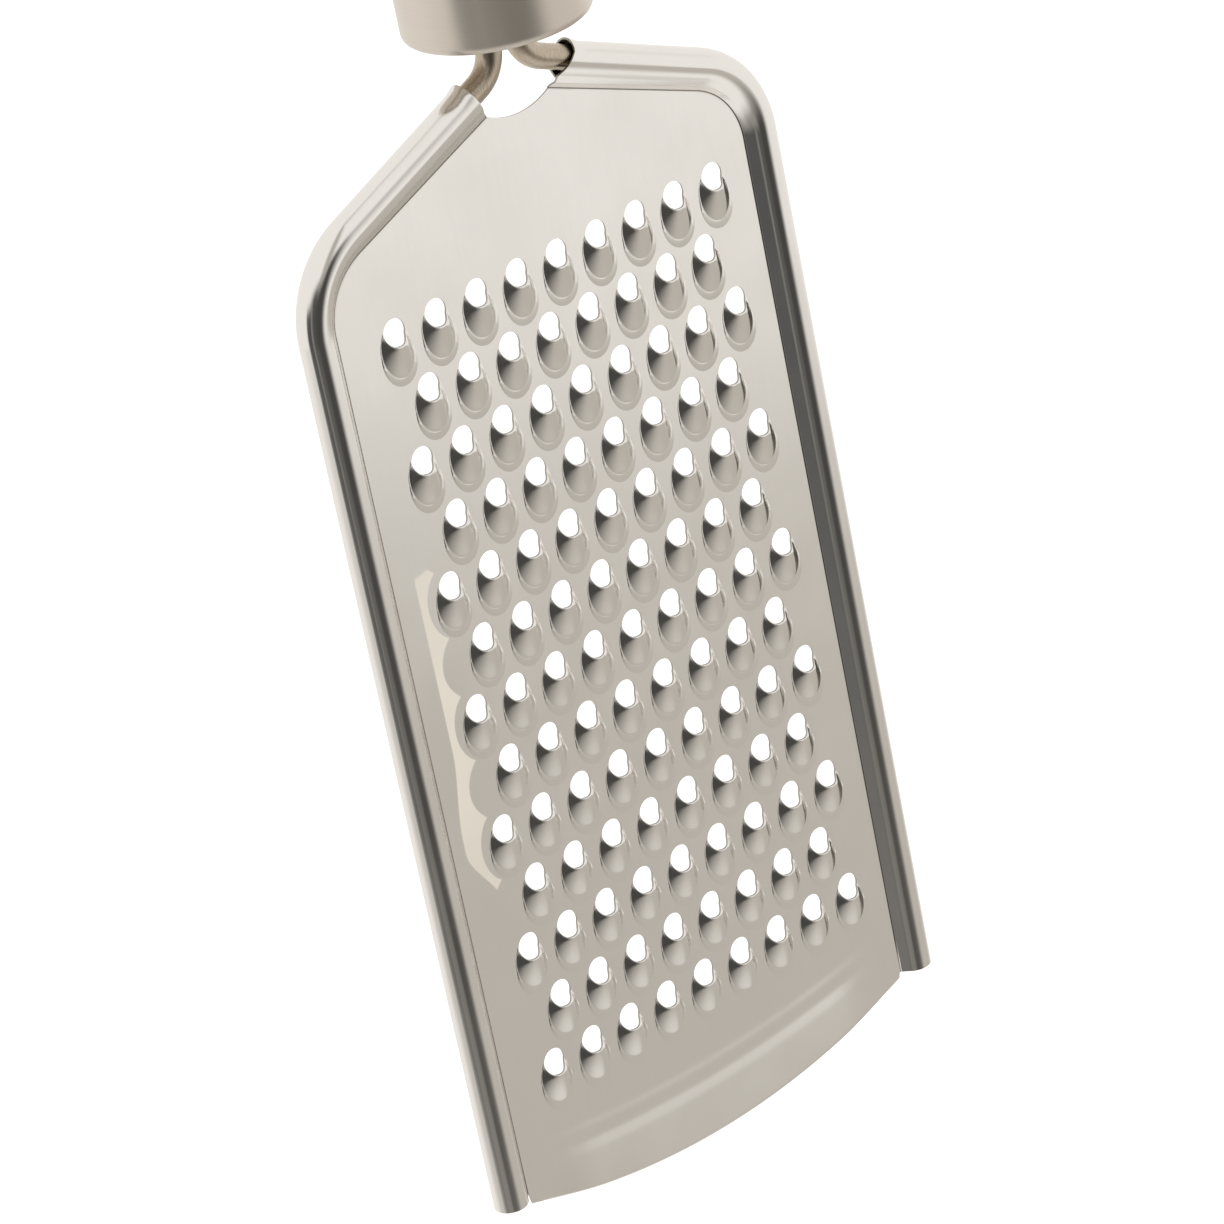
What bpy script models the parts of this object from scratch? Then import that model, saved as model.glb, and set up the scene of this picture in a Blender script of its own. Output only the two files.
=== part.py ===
import bpy
import bmesh
from math import atan2, cos, hypot, pi, radians, sin, sqrt, tan
from mathutils import Vector
from mathutils.geometry import delaunay_2d_cdt

# Hand grater hanging from its ring: X to the right, Z up, the cutting side faces -Y.
# Sizes are in millimetres and measured from the lowest point of the blade (z = 0);
# y = 0 is the middle of the sheet, and also the plane of both rim rods and the handle's axis.
MM = 0.001

# Blade sheet
SHEET_T = 0.3
TIP_R = 120.0            # radius of the convex lower edge
RIM_X = 41.5             # axis of each straight rolled rim, from the centreline
ROLL_R = 2.6             # outer radius of the rolled rim
ROLL_FOOT_Z = {-1: 7.9, 1: 7.0}    # lower end of the left and of the right roll
ROLL_FILLET = 0.4        # concave fillet between the flat sheet and the ramp
ROLL_RAMP = 54.0         # degrees at which the sheet climbs, straight, into the roll
ROLL_TAIL = 1.2          # straight free edge of the roll, closing toward the sheet's back
CORNER_R = 14.0          # bend of the rim's axis at the shoulder
CORNER_Z = 155.55        # where the rail's axis and the shoulder's axis would cross
SHOULDER_SLOPE = 22.8    # degrees below horizontal
NOTCH_Z = 164.5          # bottom of the neck notch
NOTCH_R = 11.5
NECK_X = {-1: 8.0, 1: 7.6}         # where the ramp ends beside the notch, left and right
NECK_CUT = {-1: 0.4, 1: 1.8}       # how much further back the roll itself is cut
NECK_FLARE = 0.35        # opening of the roll's end, away from the blade
NECK_FLARE_L = 2.0
CORNER_SPREAD = 0.45     # how far the crease has drawn away from the roll after the corner
NECK_SPREAD = 1.0        # and beside the notch
FREE_GAP = 0.3           # air between neighbouring pieces

# Teeth
TOOTH_ROWS = 13
TOOTH_WIDE_ROW = 9       # teeth in the odd rows; the even rows have one fewer
TOOTH_PITCH_X = 7.5
TOOTH_PITCH_Z = 9.75
TOOTH_TOP_Z = 142.7      # first row
TOOTH_SHIFT = 1.1        # the punched field lies right of the centreline
HOLE_R = 1.95
HOLE_UP = 0.17           # hole centre above the row line
HOLE_DROP = 2.05         # from the hole's centre down to the lip
LIP_H = 1.0              # lip above the sheet's face
LIP_SHAPE = 1.7          # how steeply the lip's height gathers toward its middle
SWELL_W = 2.9            # half width of the raised swelling under each hole
SWELL_L = 4.85           # half length
SWELL_DOWN = 2.4         # its centre below the row line
SWELL_MID = 0.5          # height of the swelling halfway to its foot

# Stiffening groove above the lower edge
GROOVE_Z = 9.2
GROOVE_R = 150.0
GROOVE_HALF_X = 29.0
GROOVE_W = 7.0
GROOVE_DEPTH = 0.3

# Rim rods
ROD_R = 1.9
ROD_NECK_R = 5.3         # bend between the shoulder and the handle
ROD_PAIR_X = 2.55        # half the distance between the rods in the handle
ROD_FOOT_Z = 8.2

# Handle
HANDLE_X = -0.45         # its axis lies a little left of the blade's centreline
HANDLE_Z = 178.1         # front end
HANDLE_L = 90.0
HANDLE_R = 13.6
HANDLE_WALL = 0.9
HANDLE_EDGE_R = 1.3
ANCHOR_UP = 12.0         # anchor disc above the handle's front end
ANCHOR_T = 2.5
CAP_SKIRT = 7.0
EYE_UP = 5.6             # ring pivot above the cap's face
EYE_T = 2.4
EYE_R = 4.2
EYE_HOLE_R = 1.8
SHANK_R = 1.75
COLLAR_R = 3.6
COLLAR_T = 1.2
NUT_FLATS = 7.0
NUT_T = 3.0
RING_R = 10.0
RING_WIRE_R = 1.2

# Worked out from the sizes above
FRONT = SHEET_T / 2
TURN = radians(90.0 - SHOULDER_SLOPE)
CORNER_CX = RIM_X - CORNER_R
CORNER_CZ = CORNER_Z - CORNER_R * tan(TURN / 2)
RAMP = radians(ROLL_RAMP)
RAMP_IN = ROLL_R * sin(RAMP) + (ROLL_R * cos(RAMP) - FRONT) / tan(RAMP)
CREASE_IN = RAMP_IN + ROLL_FILLET * tan(RAMP / 2)
ROLL_START = pi / 2 + RAMP
NECK_RISE = radians(80.0)
SHOULDER_OUT = Vector((cos(TURN), sin(TURN)))
CORNER_END_X = CORNER_CX + CORNER_R * SHOULDER_OUT.x
SHOULDER_DIR = Vector((-sin(TURN), cos(TURN)))
NOTCH_CENTRE = Vector((0.0, NOTCH_Z + NOTCH_R))
HANDLE_TOP = HANDLE_Z + HANDLE_L
CAP_FACE = HANDLE_TOP + FREE_GAP + HANDLE_WALL
EYE_Z = CAP_FACE + EYE_UP
HANG_Z = EYE_Z + 2 * RING_R - RING_WIRE_R


def clear_scene():
    for obj in list(bpy.data.objects):
        bpy.data.objects.remove(obj, do_unlink=True)
    for coll in list(bpy.data.collections):
        bpy.data.collections.remove(coll)


def make_collection(name):
    coll = bpy.data.collections.new(name)
    bpy.context.scene.collection.children.link(coll)
    return coll


def steel(name, colour, roughness):
    mat = bpy.data.materials.new(name)
    mat.use_nodes = True
    shader = mat.node_tree.nodes["Principled BSDF"]
    shader.inputs["Base Color"].default_value = (*colour, 1.0)
    shader.inputs["Metallic"].default_value = 1.0
    shader.inputs["Roughness"].default_value = roughness
    return mat


def add_object(name, data, coll, mat=None):
    obj = bpy.data.objects.new(name, data)
    coll.objects.link(obj)
    if mat:
        data.materials.append(mat)
    return obj


def shade_round(obj, degrees=35):
    obj.data.shade_smooth()
    obj.data.set_sharp_from_angle(angle=radians(degrees))


def to_mesh(obj, coll):
    """Curve object to a closed mesh object of the same name, caps welded."""
    graph = bpy.context.evaluated_depsgraph_get()
    mesh = bpy.data.meshes.new_from_object(obj.evaluated_get(graph))
    bm = bmesh.new()
    bm.from_mesh(mesh)
    bmesh.ops.remove_doubles(bm, verts=bm.verts, dist=1e-6)
    bmesh.ops.recalc_face_normals(bm, faces=bm.faces)
    bm.to_mesh(mesh)
    bm.free()
    name, matrix = obj.name, obj.matrix_world.copy()
    bpy.data.objects.remove(obj, do_unlink=True)
    mesh.name = name
    new = add_object(name, mesh, coll)
    new.matrix_world = matrix
    return new


def turned(name, profile, coll, mat, steps=36):
    """Closed (radius, height) outline turned about Z with a Screw modifier."""
    bm = bmesh.new()
    verts = [bm.verts.new((r * MM, 0.0, z * MM)) for r, z in profile]
    for a, b in zip(verts, verts[1:] + verts[:1]):
        bm.edges.new((a, b))
    mesh = bpy.data.meshes.new(name)
    bm.to_mesh(mesh)
    bm.free()
    obj = add_object(name, mesh, coll, mat)
    screw = obj.modifiers.new("turn", "SCREW")
    screw.steps = screw.render_steps = steps
    screw.use_merge_vertices = True
    screw.merge_threshold = 1e-6
    screw.use_smooth_shade = True
    return obj


def cut(obj, cutter):
    boolean = obj.modifiers.new("cut", "BOOLEAN")
    boolean.operation = "DIFFERENCE"
    boolean.solver = "EXACT"
    boolean.object = cutter


def join(obj, tool):
    boolean = obj.modifiers.new("join", "BOOLEAN")
    boolean.operation = "UNION"
    boolean.solver = "EXACT"
    boolean.object = tool


def cylinder(name, radius, length, place, coll, axis="Z", sides=24):
    bm = bmesh.new()
    bmesh.ops.create_cone(bm, cap_ends=True, segments=sides, radius1=radius * MM,
                          radius2=radius * MM, depth=length * MM)
    mesh = bpy.data.meshes.new(name)
    bm.to_mesh(mesh)
    bm.free()
    obj = add_object(name, mesh, coll)
    obj.location = Vector(place) * MM
    if axis == "X":
        obj.rotation_euler = (0.0, pi / 2, 0.0)
    return obj


def as_cutter(obj):
    obj.hide_render = True
    obj.display_type = "WIRE"
    return obj


# Rim path, right half, from the foot up to the neck

def rim_axis(foot_z, rail_steps, corner_steps):
    """(point, outward, crease spread) along the rolled rim up to the end of the corner."""
    stations = []
    for i in range(rail_steps):
        z = foot_z + (CORNER_CZ - foot_z) * i / rail_steps
        stations.append((Vector((RIM_X, z)), Vector((1.0, 0.0)), 0.0))
    for i in range(corner_steps + 1):
        t = i / corner_steps
        out = Vector((cos(TURN * t), sin(TURN * t)))
        stations.append((Vector((CORNER_CX, CORNER_CZ)) + CORNER_R * out, out, CORNER_SPREAD * t))
    return stations


def shoulder_point(x):
    """Point of the shoulder's axis at this distance from the centreline."""
    start = Vector((CORNER_CX, CORNER_CZ)) + CORNER_R * SHOULDER_OUT
    return start + SHOULDER_DIR * ((start.x - x) / -SHOULDER_DIR.x)


def shoulder_spread(x):
    t = (CORNER_END_X - x) / (CORNER_END_X - min(NECK_X.values()))
    return CORNER_SPREAD + (NECK_SPREAD - CORNER_SPREAD) * t


def crease_point(x):
    return shoulder_point(x) - SHOULDER_OUT * (CREASE_IN + shoulder_spread(x))


def roll_section(fillet_steps, roll_steps):
    """(outward, toward the viewer, angle) around the rim's axis: the fillet off the flat
    sheet, the straight ramp, the roll and its straight free edge behind the sheet."""
    section = []
    for i in range(fillet_steps + 1):
        a = RAMP * i / fillet_steps
        section.append((-CREASE_IN + ROLL_FILLET * sin(a), FRONT + ROLL_FILLET * (1 - cos(a)), None))
    for i in range(roll_steps + 1):
        a = ROLL_START * (1 - 2 * i / roll_steps)
        section.append((ROLL_R * cos(a), ROLL_R * sin(a), a))
    o, n, a = section[-1]
    section.append((o - ROLL_TAIL * cos(RAMP), n + ROLL_TAIL * sin(RAMP), a))
    return section


def spread_share(angle):
    """How much of the crease's spread one place round the section follows."""
    if angle is None:
        return 1.0
    return max(0.0, 2 * angle / pi - 1) ** 2


def neck_point(side, place, back):
    """Point of the section near the neck, this far back from the roll's cut end."""
    outward, _, angle = place
    if angle is None:
        t = (outward + CREASE_IN) / (CREASE_IN - ROLL_R * sin(RAMP))
        x = NOTCH_X + (NECK_X[side] - NOTCH_X) * t
    else:
        share = min(1.0, (ROLL_START - abs(angle)) / NECK_RISE)
        x = NECK_X[side] + NECK_CUT[side] * (max(0.6, share) if angle < 0 else share)
        outward += NECK_FLARE * max(0.0, cos(angle)) * (1 - back / NECK_FLARE_L)
    x += back
    return shoulder_point(x) + SHOULDER_OUT * (outward - shoulder_spread(x) * spread_share(angle))


def tip_z(x):
    return TIP_R - sqrt(TIP_R ** 2 - x ** 2)


def notch_x():
    """Where along the shoulder the crease meets the notch's arc."""
    start, end = crease_point(CORNER_CX), crease_point(0.0)
    along = (end - start).normalized()
    to_start = start - NOTCH_CENTRE
    b = to_start.dot(along)
    c = to_start.length_squared - NOTCH_R ** 2
    return CORNER_CX * (1 - (-b - sqrt(b * b - c)) / (end - start).length)


NOTCH_X = notch_x()


# Teeth

def tooth_centres():
    for row in range(TOOTH_ROWS):
        count = TOOTH_WIDE_ROW - row % 2
        for col in range(count):
            x = TOOTH_SHIFT + (col - (count - 1) / 2) * TOOTH_PITCH_X
            yield x, TOOTH_TOP_Z - row * TOOTH_PITCH_Z


SWELL_ANGLES = [90, 55, 25, -12, -50, -90, -130, -168, 155, 125]
HOLE_ANGLES = [90, 45, 0, -45, -90, -135, 180, 135]


def swell_ring(x, z):
    """Foot of the swelling, clockwise from the top."""
    for a in map(radians, SWELL_ANGLES):
        yield Vector((x + SWELL_W * cos(a), z - SWELL_DOWN + SWELL_L * sin(a)))


def hole_ring(x, z):
    """(place, height): round at the top, drawn up into the lip at the bottom."""
    for a in map(radians, HOLE_ANGLES):
        drop = HOLE_R if sin(a) >= 0 else HOLE_DROP
        height = LIP_H * max(0.0, -sin(a)) ** LIP_SHAPE
        yield Vector((x + HOLE_R * cos(a), z + HOLE_UP + drop * sin(a))), height


def groove_z(x):
    return GROOVE_Z + GROOVE_R - sqrt(GROOVE_R ** 2 - x ** 2)


def groove_loop(steps, end_steps):
    """Outline of the groove: lower side, round end, upper side, round end."""
    half = GROOVE_W / 2
    span = GROOVE_HALF_X - half
    loop = []
    for side in (1, -1):
        for i in range(steps + 1):
            x = side * (-span + 2 * span * i / steps)
            loop.append(Vector((x, groove_z(x) - side * half)))
        for i in range(1, end_steps):
            a = -pi / 2 + pi * i / end_steps
            loop.append(Vector((side * (span + half * cos(a)),
                                groove_z(span) + side * half * sin(a))))
    return loop


def in_loop(p, loop):
    inside = False
    for a, b in zip(loop, loop[1:] + loop[:1]):
        if (a.y > p.y) != (b.y > p.y) and p.x < a.x + (b.x - a.x) * (p.y - a.y) / (b.y - a.y):
            inside = not inside
    return inside


def grater_sheet(coll, mat):
    """One blank: flat field, punched teeth, groove and both rolled rims, thickened
    backwards from its front face by a Solidify modifier."""
    section = roll_section(2, 11)
    crease = []
    for i, (point, out, spread) in enumerate(rim_axis(0.0, 4, 6)):
        p = point - out * (CREASE_IN + spread)
        crease.append(Vector((p.x, tip_z(p.x))) if i == 0 else p)
    crease.append(crease_point(NOTCH_X + NECK_FLARE_L))
    crease.append(crease_point(NOTCH_X))

    end = crease[-1] - NOTCH_CENTRE
    reach = atan2(end.x, -end.y)
    notch = [NOTCH_CENTRE + NOTCH_R * Vector((sin(a), -cos(a)))
             for a in (reach * (1 - i / 4) for i in range(1, 8))]
    tip = []
    for i in range(1, 14):
        x = -crease[0].x + 2 * crease[0].x * i / 14
        tip.append(Vector((x, tip_z(x))))
    border = crease + notch + [Vector((-p.x, p.y)) for p in reversed(crease)] + tip

    flat, edges, depth = list(border), [], {}

    def add_loop(points, closed=True):
        first = len(flat) if points is not border else 0
        if points is not border:
            flat.extend(points)
        ids = list(range(first, first + len(points)))
        edges.extend(zip(ids, ids[1:] + ids[:1] if closed else ids[1:]))
        return ids

    add_loop(border)
    add_loop(groove_loop(10, 4))
    ridge_half = GROOVE_HALF_X - GROOVE_W / 2
    ridge = [Vector((x, groove_z(x))) for x in
             (-ridge_half + 2 * ridge_half * i / 10 for i in range(11))]
    for i in add_loop(ridge, closed=False):
        depth[i] = GROOVE_DEPTH
    feet = [add_loop(list(swell_ring(x, z))) for x, z in tooth_centres()]
    foot_of = {i: n for n, ids in enumerate(feet) for i in ids}

    coords, _, faces, origin, _, _ = delaunay_2d_cdt(flat, edges, [], 0, 1e-6)
    bm = bmesh.new()
    verts = [None] * len(flat)
    for p, sources in zip(coords, origin):
        vert = bm.verts.new((p.x * MM, (depth.get(sources[0], 0.0) - FRONT) * MM, p.y * MM))
        for i in sources:
            verts[i] = vert
    source = [s[0] for s in origin]
    for face in faces:
        teeth = {foot_of.get(source[i]) for i in face}
        if len(teeth) == 1 and None not in teeth:
            continue
        if in_loop(sum((coords[i] for i in face), Vector((0.0, 0.0))) / 3, border):
            bm.faces.new([verts[source[i]] for i in face])

    for ids, (x, z) in zip(feet, tooth_centres()):
        foot = [verts[i] for i in ids]
        hole = [bm.verts.new((p.x * MM, -(FRONT + h) * MM, p.y * MM)) for p, h in hole_ring(x, z)]
        mid_z = z - (SWELL_DOWN + SWELL_L - HOLE_UP + HOLE_DROP) / 2
        mid = bm.verts.new((x * MM, -(FRONT + SWELL_MID) * MM, mid_z * MM))
        for i in range(3):
            bm.faces.new((foot[i], foot[i + 1], hole[i + 1], hole[i]))
            bm.faces.new((foot[-i], hole[-i], hole[-i - 1], foot[-i - 1]))
        for a, b, h in ((3, 4, 3), (7, 6, 5)):
            for trio in ((foot[a], foot[b], hole[h]), (foot[b], mid, hole[h]),
                         (hole[h], mid, hole[4]), (foot[b], foot[5], mid)):
                bm.faces.new(trio)

    for side in (1, -1):
        places = []
        for point, out, spread in rim_axis(ROLL_FOOT_Z[side], 4, 6):
            places.append([point + out * (o - spread * spread_share(a)) for o, _, a in section])
        for back in (NECK_FLARE_L, 0.0):
            places.append([neck_point(side, place, back) for place in section])
        rows = []
        for i, row in enumerate(places):
            first = i if side == 1 else len(crease) * 2 + len(notch) - 1 - i
            line = [verts[first]]
            for p, (_, n, _) in zip(row[1:], section[1:]):
                line.append(bm.verts.new((side * p.x * MM, -n * MM, p.y * MM)))
            rows.append(line)
        for low, high in zip(rows, rows[1:]):
            for j in range(len(section) - 1):
                bm.faces.new((low[j], low[j + 1], high[j + 1], high[j]))

    bmesh.ops.recalc_face_normals(bm, faces=bm.faces)
    bm.normal_update()
    if sum(f.normal.y * f.calc_area() for f in bm.faces if abs(f.normal.y) > 0.99) > 0:
        bmesh.ops.reverse_faces(bm, faces=bm.faces)
    mesh = bpy.data.meshes.new("grater_plate")
    bm.to_mesh(mesh)
    bm.free()
    obj = add_object("grater_plate", mesh, coll, mat)
    solid = obj.modifiers.new("sheet", "SOLIDIFY")
    solid.thickness = SHEET_T * MM
    solid.offset = -1.0
    solid.use_even_offset = True
    return obj


def rim_rod(name, side, coll, mat):
    """Wire from the rim's foot, round the corner, along the shoulder and into the handle."""
    points = [p for p, _, _ in rim_axis(ROD_FOOT_Z, 4, 6)]
    pair_x = ROD_PAIR_X + side * HANDLE_X
    bend_z = shoulder_point(pair_x).y
    cx = pair_x + ROD_NECK_R
    cz = bend_z + ROD_NECK_R * tan(TURN / 2)
    for i in range(7):
        a = TURN * (1 - i / 6)
        points.append(Vector((cx - ROD_NECK_R * cos(a), cz - ROD_NECK_R * sin(a))))
    points.append(Vector((pair_x, HANDLE_Z + ANCHOR_UP + ANCHOR_T)))
    curve = bpy.data.curves.new(name, "CURVE")
    curve.dimensions = "3D"
    curve.bevel_depth = ROD_R * MM
    curve.bevel_resolution = 3
    curve.use_fill_caps = True
    line = curve.splines.new("POLY")
    line.points.add(len(points) - 1)
    for slot, p in zip(line.points, points):
        slot.co = (side * p.x * MM, 0.0, p.y * MM, 1.0)
    rod = to_mesh(add_object(name, curve, coll), coll)
    rod.data.materials.clear()
    rod.data.materials.append(mat)
    shade_round(rod, 50)
    return rod


def rounded(radius, height, edge, steps=4):
    """Quarter-circle points from the top of the wall inwards."""
    for i in range(steps + 1):
        a = pi / 2 * i / steps
        yield radius - edge + edge * cos(a), height - edge + edge * sin(a)


def handle_shell(coll, cutters, mat):
    """Drawn tube with a closed, round-edged front end and two holes for the rods."""
    inner_edge = max(0.2, HANDLE_EDGE_R - HANDLE_WALL)
    inner_r = HANDLE_R - HANDLE_WALL
    outer = [(HANDLE_R, HANDLE_L)]
    outer += [(r, HANDLE_EDGE_R * 2 - z) for r, z in
              rounded(HANDLE_R, HANDLE_EDGE_R * 2, HANDLE_EDGE_R)]
    outer += [(0.0, 0.0), (0.0, HANDLE_WALL)]
    inner = [(r, HANDLE_WALL + inner_edge * 2 - z) for r, z in
             rounded(inner_r, inner_edge * 2, inner_edge, 2)]
    shell = turned("handle_shell", outer + inner[::-1] + [(inner_r, HANDLE_L)], coll, mat, 40)
    shell.location = Vector((HANDLE_X, 0.0, HANDLE_Z)) * MM
    for side in (-1, 1):
        hole = cylinder("rod_hole", ROD_R + FREE_GAP, HANDLE_WALL * 8,
                        (HANDLE_X + side * ROD_PAIR_X, 0.0, HANDLE_Z), cutters, sides=16)
        cut(shell, as_cutter(hole))
    return shell


def anchor_disc(coll, cutters, mat):
    """Disc inside the handle that both rods are fixed in."""
    disc = cylinder("rod_anchor_disc", HANDLE_R - HANDLE_WALL - FREE_GAP, ANCHOR_T,
                    (HANDLE_X, 0.0, HANDLE_Z + ANCHOR_UP + ANCHOR_T / 2), coll, sides=40)
    disc.data.materials.append(mat)
    for side in (-1, 1):
        hole = cylinder("anchor_hole", ROD_R + FREE_GAP, ANCHOR_T * 3,
                        (HANDLE_X + side * ROD_PAIR_X, 0.0, HANDLE_Z + ANCHOR_UP), cutters, sides=16)
        cut(disc, as_cutter(hole))
    return disc


def end_cap(coll, mat):
    """Pressed cap: round-edged face over the tube's end, skirt inside the tube."""
    skirt_r = HANDLE_R - HANDLE_WALL - FREE_GAP
    bore = SHANK_R + FREE_GAP
    face = HANDLE_WALL
    profile = [(bore, face)]
    profile += list(rounded(HANDLE_R, face, min(HANDLE_EDGE_R, face * 0.9)))[::-1]
    profile += [(HANDLE_R, 0.0), (skirt_r, 0.0), (skirt_r, -CAP_SKIRT)]
    profile += [(skirt_r - HANDLE_WALL, -CAP_SKIRT), (skirt_r - HANDLE_WALL, 0.0), (bore, 0.0)]
    cap = turned("handle_end_cap", profile, coll, mat, 40)
    cap.location = Vector((HANDLE_X, 0.0, HANDLE_TOP + FREE_GAP)) * MM
    return cap


def hanging_eye(coll, cutters, mat):
    """Stud through the cap with a flat, round-topped eye for the ring."""
    low = CAP_FACE - HANDLE_WALL - NUT_T - FREE_GAP - 1.0
    base = CAP_FACE + FREE_GAP
    profile = [(COLLAR_R, COLLAR_T), (COLLAR_R, 0.0), (SHANK_R, 0.0), (SHANK_R, low - base),
               (0.0, low - base), (0.0, COLLAR_T)]
    eye = turned("hanging_eye", profile, coll, mat, 24)
    eye.location = Vector((HANDLE_X, 0.0, base)) * MM
    head = cylinder("eye_head", EYE_R, EYE_T, (HANDLE_X, 0.0, EYE_Z), cutters, axis="X", sides=24)
    neck_low = base + COLLAR_T / 2
    bm = bmesh.new()
    bmesh.ops.create_cube(bm, size=1.0)
    bmesh.ops.scale(bm, vec=(EYE_T * MM, 2 * EYE_R * 0.75 * MM, (EYE_Z - neck_low) * MM),
                    verts=bm.verts)
    mesh = bpy.data.meshes.new("eye_neck")
    bm.to_mesh(mesh)
    bm.free()
    neck = add_object("eye_neck", mesh, cutters)
    neck.location = Vector((HANDLE_X, 0.0, (EYE_Z + neck_low) / 2)) * MM
    join(eye, as_cutter(neck))
    join(eye, as_cutter(head))
    hole = cylinder("eye_hole", EYE_HOLE_R, EYE_T * 3, (HANDLE_X, 0.0, EYE_Z), cutters,
                    axis="X", sides=20)
    cut(eye, as_cutter(hole))
    return eye


def eye_nut(coll, cutters, mat):
    """Hexagon nut on the stud, inside the cap."""
    z = CAP_FACE - HANDLE_WALL - FREE_GAP - NUT_T / 2
    nut = cylinder("eye_nut", NUT_FLATS / sqrt(3), NUT_T, (HANDLE_X, 0.0, z), coll, sides=6)
    nut.data.materials.append(mat)
    hole = cylinder("nut_hole", SHANK_R + FREE_GAP, NUT_T * 2, (HANDLE_X, 0.0, z), cutters, sides=16)
    cut(nut, as_cutter(hole))
    return nut


def hanging_ring(coll, mat):
    """Wire ring through the eye, its origin on the pivot."""
    bpy.ops.mesh.primitive_torus_add(major_radius=RING_R * MM, minor_radius=RING_WIRE_R * MM,
                                     major_segments=32, minor_segments=8)
    ring = bpy.context.object
    for old in list(ring.users_collection):
        old.objects.unlink(ring)
    coll.objects.link(ring)
    ring.name = ring.data.name = "hanging_ring"
    for vert in ring.data.vertices:
        x, y, z = vert.co
        vert.co = (x, -z, y + RING_R * MM)
    ring.data.materials.append(mat)
    ring.data.shade_smooth()
    ring.location = Vector((HANDLE_X, 0.0, EYE_Z)) * MM
    return ring


clear_scene()
parts = make_collection("hand_grater")
cutters = make_collection("cutters")
blade_steel = steel("blade_steel", (0.60, 0.57, 0.53), 0.28)
rod_steel = steel("rod_steel", (0.50, 0.46, 0.40), 0.35)
handle_steel = steel("handle_steel", (0.58, 0.53, 0.47), 0.38)
fitting_steel = steel("fitting_steel", (0.52, 0.50, 0.47), 0.32)

pieces = [
    grater_sheet(parts, blade_steel),
    rim_rod("left_rim_rod", -1, parts, rod_steel),
    rim_rod("right_rim_rod", 1, parts, rod_steel),
    handle_shell(parts, cutters, handle_steel),
    anchor_disc(parts, cutters, fitting_steel),
    end_cap(parts, handle_steel),
    hanging_eye(parts, cutters, fitting_steel),
    eye_nut(parts, cutters, fitting_steel),
    hanging_ring(parts, fitting_steel),
]
tool = bpy.data.objects.new("hand_grater_origin", None)
parts.objects.link(tool)
tool.location = Vector((-HANDLE_X, 0.0, -HANG_Z)) * MM
for obj in pieces + list(cutters.objects):
    obj.parent = tool
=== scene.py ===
from math import atan2, copysign, cos, pi, radians, sin, sqrt, tan

import bmesh
import bpy
from mathutils import Matrix, Vector
from mathutils.geometry import delaunay_2d_cdt


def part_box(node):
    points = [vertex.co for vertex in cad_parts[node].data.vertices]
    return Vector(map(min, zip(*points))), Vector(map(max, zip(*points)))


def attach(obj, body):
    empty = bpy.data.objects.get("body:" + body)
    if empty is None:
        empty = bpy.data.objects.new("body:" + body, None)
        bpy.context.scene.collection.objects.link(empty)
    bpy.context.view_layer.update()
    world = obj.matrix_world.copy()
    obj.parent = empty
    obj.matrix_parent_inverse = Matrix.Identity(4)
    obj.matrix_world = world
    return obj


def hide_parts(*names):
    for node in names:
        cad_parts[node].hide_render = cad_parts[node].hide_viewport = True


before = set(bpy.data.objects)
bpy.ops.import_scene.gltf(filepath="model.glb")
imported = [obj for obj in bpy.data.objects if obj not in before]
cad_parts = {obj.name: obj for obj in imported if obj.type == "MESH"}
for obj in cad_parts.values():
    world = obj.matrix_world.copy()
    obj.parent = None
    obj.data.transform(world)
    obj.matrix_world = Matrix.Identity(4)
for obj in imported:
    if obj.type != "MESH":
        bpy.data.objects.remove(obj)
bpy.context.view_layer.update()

mm = 0.001
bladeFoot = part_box("grater_plate")[0][2]     # the blade's lowest point, height 0 of every size below
handleAxisX = -0.45                          # the handle sits a little left of the blade's centreline

# Sizes are in millimetres and angles in degrees. x runs from the blade's centreline, z up from its
# lowest point and y away from the viewer, with 0 in the middle of the sheet's thickness.


def toWorld(x, y, z):     # from those sizes to metres in the frame
    return Vector(((x - handleAxisX) * mm, y * mm, z * mm + bladeFoot))


def smooth(low, high, value):     # soft step from 0 at low to 1 at high
    t = min(1.0, max(0.0, (value - low) / (high - low)))
    return t * t * (3 - 2 * t)


def linear(hexColour):     # sRGB hex to the linear colour that shaders take
    parts = [int(hexColour[i:i + 2], 16) / 255 for i in (1, 3, 5)]
    return tuple(c / 12.92 if c <= 0.04045 else ((c + 0.055) / 1.055) ** 2.4 for c in parts) + (1.0,)


def newMaterial(name):
    material = bpy.data.materials.new(name)
    material.use_nodes = True
    material.node_tree.nodes.clear()
    return material


# adds a node; given holds its attributes and its inputs, an input as a value or as a socket to link
def node(tree, kind, given=None):
    new = tree.nodes.new(kind)
    for key, value in (given or {}).items():
        if not isinstance(key, int) and key not in new.inputs:
            setattr(new, key, value)
        elif isinstance(value, bpy.types.NodeSocket):
            tree.links.new(value, new.inputs[key])
        else:
            new.inputs[key].default_value = value
    return new


# mask from several smooth fades, each (value, where it has gone, where it is full)
def fadesMultiplied(tree, fades):
    mask = 1.0
    for value, gone, full in fades:
        fade = node(tree, "ShaderNodeMapRange", {"interpolation_type": "SMOOTHSTEP", "Value": value,
                                                 "From Min": gone, "From Max": full})
        mask = node(tree, "ShaderNodeMath", {"operation": "MULTIPLY", 0: mask, 1: fade.outputs[0]}).outputs[0]
    return mask


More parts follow.
